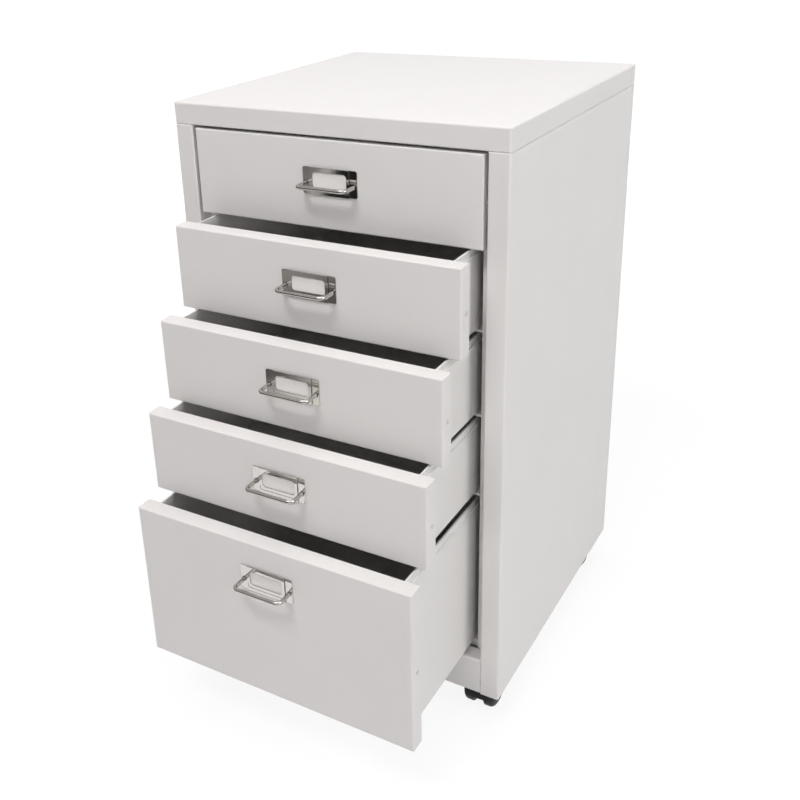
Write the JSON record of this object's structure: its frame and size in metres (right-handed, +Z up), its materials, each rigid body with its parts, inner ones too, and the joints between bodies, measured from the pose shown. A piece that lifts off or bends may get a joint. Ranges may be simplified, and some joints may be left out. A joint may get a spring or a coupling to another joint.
{
  "type": "steel drawer cabinet",
  "caption": "Folded-sheet office cabinet with sliding drawers, a deep one at the bottom, wire pulls, label plates and twin-wheel castors.",
  "frame": {"origin": "on the floor, under the middle of the body's plan", "axes": "+X to the right seen from the front, +Y towards the back, +Z up; the drawers open towards -Y"},
  "size_m": [0.4, 0.5866, 0.7165],
  "materials": {
    "white_paint": "smooth semi-gloss powder coat, slightly warm white",
    "bright_metal": "bright nickel-chrome plate on pressed sheet and wire",
    "plain_steel": "zinc-plated turned steel",
    "black_plastic": "black moulded nylon with a slight sheen",
    "label_card": "bare white card"
  },
  "bodies": {
    "carcass": {"top_cap": "white_paint", "left_side": "white_paint", "right_side": "white_paint", "back_panel": "white_paint", "base_panel": "white_paint", "bottom_rail": "white_paint", "left_runners": "white_paint", "right_runners": "white_paint", "castor_stems": "plain_steel", "back_rivets": "white_paint"},
    "drawer_1": {"drawer_1_front": "white_paint", "drawer_1_tray": "white_paint", "drawer_1_rivets": "white_paint", "drawer_1_label_plate": "bright_metal", "drawer_1_card": "label_card", "drawer_1_pull": "bright_metal"},
    "drawer_2": {"drawer_2_front": "white_paint", "drawer_2_tray": "white_paint", "drawer_2_rivets": "white_paint", "drawer_2_label_plate": "bright_metal", "drawer_2_card": "label_card", "drawer_2_pull": "bright_metal"},
    "drawer_3": {"drawer_3_front": "white_paint", "drawer_3_tray": "white_paint", "drawer_3_rivets": "white_paint", "drawer_3_label_plate": "bright_metal", "drawer_3_card": "label_card", "drawer_3_pull": "bright_metal"},
    "drawer_4": {"drawer_4_front": "white_paint", "drawer_4_tray": "white_paint", "drawer_4_rivets": "white_paint", "drawer_4_label_plate": "bright_metal", "drawer_4_card": "label_card", "drawer_4_pull": "bright_metal"},
    "drawer_5": {"drawer_5_front": "white_paint", "drawer_5_tray": "white_paint", "drawer_5_rivets": "white_paint", "drawer_5_label_plate": "bright_metal", "drawer_5_card": "label_card", "drawer_5_pull": "bright_metal"},
    "castor_front_left": {"castor_front_left_hood": "black_plastic", "castor_front_left_axle": "plain_steel"},
    "castor_front_left_wheel_a": {"castor_front_left_wheel_a": "black_plastic"},
    "castor_front_left_wheel_b": {"castor_front_left_wheel_b": "black_plastic"},
    "castor_front_right": {"castor_front_right_hood": "black_plastic", "castor_front_right_axle": "plain_steel"},
    "castor_front_right_wheel_a": {"castor_front_right_wheel_a": "black_plastic"},
    "castor_front_right_wheel_b": {"castor_front_right_wheel_b": "black_plastic"},
    "castor_rear_left": {"castor_rear_left_hood": "black_plastic", "castor_rear_left_axle": "plain_steel"},
    "castor_rear_left_wheel_a": {"castor_rear_left_wheel_a": "black_plastic"},
    "castor_rear_left_wheel_b": {"castor_rear_left_wheel_b": "black_plastic"},
    "castor_rear_right": {"castor_rear_right_hood": "black_plastic", "castor_rear_right_axle": "plain_steel"},
    "castor_rear_right_wheel_a": {"castor_rear_right_wheel_a": "black_plastic"},
    "castor_rear_right_wheel_b": {"castor_rear_right_wheel_b": "black_plastic"}
  },
  "joints": [
    {"name": "drawer_1_slide", "type": "slide", "parent": "carcass", "child": "drawer_1", "axis": [0, -1, 0], "range_m": [0, 0.27]},
    {"name": "drawer_2_slide", "type": "slide", "parent": "carcass", "child": "drawer_2", "axis": [0, -1, 0], "range_m": [-0.05, 0.22]},
    {"name": "drawer_3_slide", "type": "slide", "parent": "carcass", "child": "drawer_3", "axis": [0, -1, 0], "range_m": [-0.091, 0.179]},
    {"name": "drawer_4_slide", "type": "slide", "parent": "carcass", "child": "drawer_4", "axis": [0, -1, 0], "range_m": [-0.127, 0.143]},
    {"name": "drawer_5_slide", "type": "slide", "parent": "carcass", "child": "drawer_5", "axis": [0, -1, 0], "range_m": [-0.162, 0.108]},
    {"name": "castor_front_left_swivel", "type": "hinge", "parent": "carcass", "child": "castor_front_left", "pos_m": [-0.166, -0.151, 0.04], "axis": [0, 0, 1], "continuous": true},
    {"name": "castor_front_left_wheel_a_spin", "type": "hinge", "parent": "castor_front_left", "child": "castor_front_left_wheel_a", "pos_m": [-0.166, -0.161, 0.02], "axis": [1, 0, 0], "continuous": true},
    {"name": "castor_front_left_wheel_b_spin", "type": "hinge", "parent": "castor_front_left", "child": "castor_front_left_wheel_b", "pos_m": [-0.166, -0.161, 0.02], "axis": [1, 0, 0], "continuous": true},
    {"name": "castor_front_right_swivel", "type": "hinge", "parent": "carcass", "child": "castor_front_right", "pos_m": [0.166, -0.151, 0.04], "axis": [0, 0, 1], "continuous": true},
    {"name": "castor_front_right_wheel_a_spin", "type": "hinge", "parent": "castor_front_right", "child": "castor_front_right_wheel_a", "pos_m": [0.166, -0.161, 0.02], "axis": [1, 0, 0], "continuous": true},
    {"name": "castor_front_right_wheel_b_spin", "type": "hinge", "parent": "castor_front_right", "child": "castor_front_right_wheel_b", "pos_m": [0.166, -0.161, 0.02], "axis": [1, 0, 0], "continuous": true},
    {"name": "castor_rear_left_swivel", "type": "hinge", "parent": "carcass", "child": "castor_rear_left", "pos_m": [-0.166, 0.151, 0.04], "axis": [0, 0, 1], "continuous": true},
    {"name": "castor_rear_left_wheel_a_spin", "type": "hinge", "parent": "castor_rear_left", "child": "castor_rear_left_wheel_a", "pos_m": [-0.166, 0.161, 0.02], "axis": [1, 0, 0], "continuous": true},
    {"name": "castor_rear_left_wheel_b_spin", "type": "hinge", "parent": "castor_rear_left", "child": "castor_rear_left_wheel_b", "pos_m": [-0.166, 0.161, 0.02], "axis": [1, 0, 0], "continuous": true},
    {"name": "castor_rear_right_swivel", "type": "hinge", "parent": "carcass", "child": "castor_rear_right", "pos_m": [0.166, 0.151, 0.04], "axis": [0, 0, 1], "continuous": true},
    {"name": "castor_rear_right_wheel_a_spin", "type": "hinge", "parent": "castor_rear_right", "child": "castor_rear_right_wheel_a", "pos_m": [0.166, 0.161, 0.02], "axis": [1, 0, 0], "continuous": true},
    {"name": "castor_rear_right_wheel_b_spin", "type": "hinge", "parent": "castor_rear_right", "child": "castor_rear_right_wheel_b", "pos_m": [0.166, 0.161, 0.02], "axis": [1, 0, 0], "continuous": true}
  ]
}
